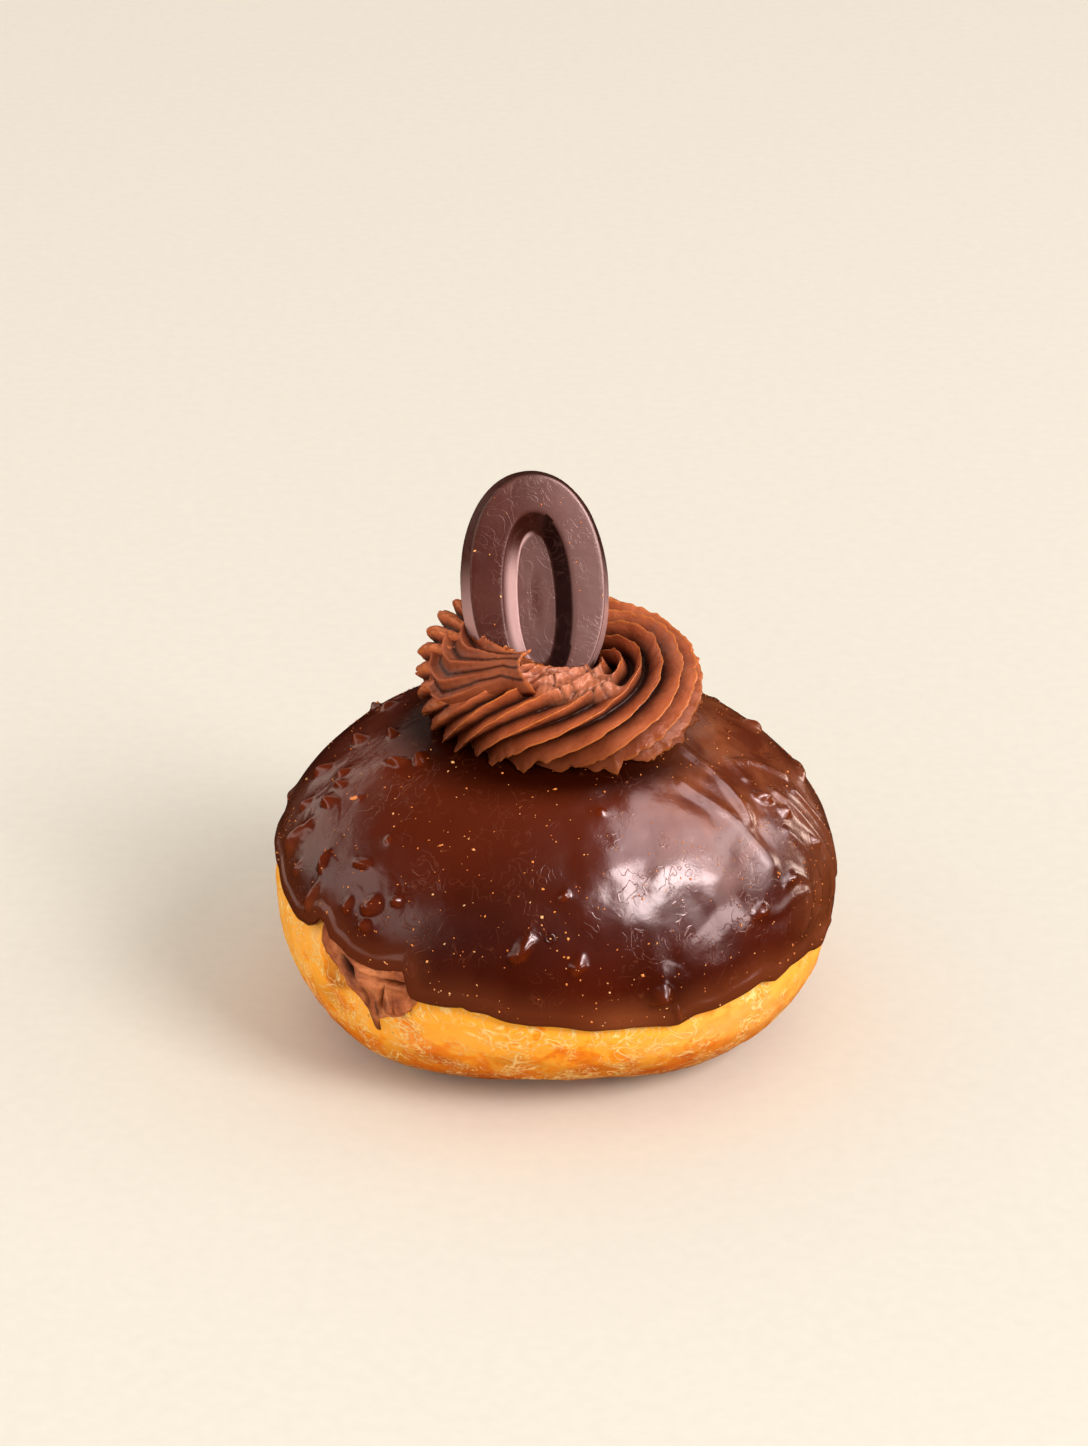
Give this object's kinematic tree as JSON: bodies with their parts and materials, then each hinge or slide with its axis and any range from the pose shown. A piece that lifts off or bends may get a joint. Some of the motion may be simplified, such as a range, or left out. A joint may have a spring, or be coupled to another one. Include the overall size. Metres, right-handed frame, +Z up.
{
  "type": "chocolate doughnut",
  "caption": "Round filled doughnut dipped in dark chocolate glaze, with a piped ring of chocolate cream and an oval chocolate drop on top.",
  "frame": {"origin": "centre of the flat spot under the dough that the doughnut rests on", "axes": "+Z up; -Y is the front, which the face of the oval drop looks to; +X is to the right seen from the front"},
  "size_m": [0.085, 0.0854, 0.0861],
  "materials": {
    "dough": "fried yeast dough, golden and slightly wrinkled, satin",
    "filling_cream": "smooth chocolate cream, soft satin",
    "chocolate_glaze": "set dark chocolate glaze, glossy, with lumps and golden specks",
    "piped_cream": "whipped chocolate cream, satin, fine cracks on the ridges",
    "moulded_chocolate": "moulded dark chocolate, scuffed satin with a slight bloom"
  },
  "bodies": {
    "root": {"dough_bun": "dough", "filling": "filling_cream", "glaze": "chocolate_glaze", "cream_rosette": "piped_cream", "chocolate_oval": "moulded_chocolate"}
  },
  "joints": []
}
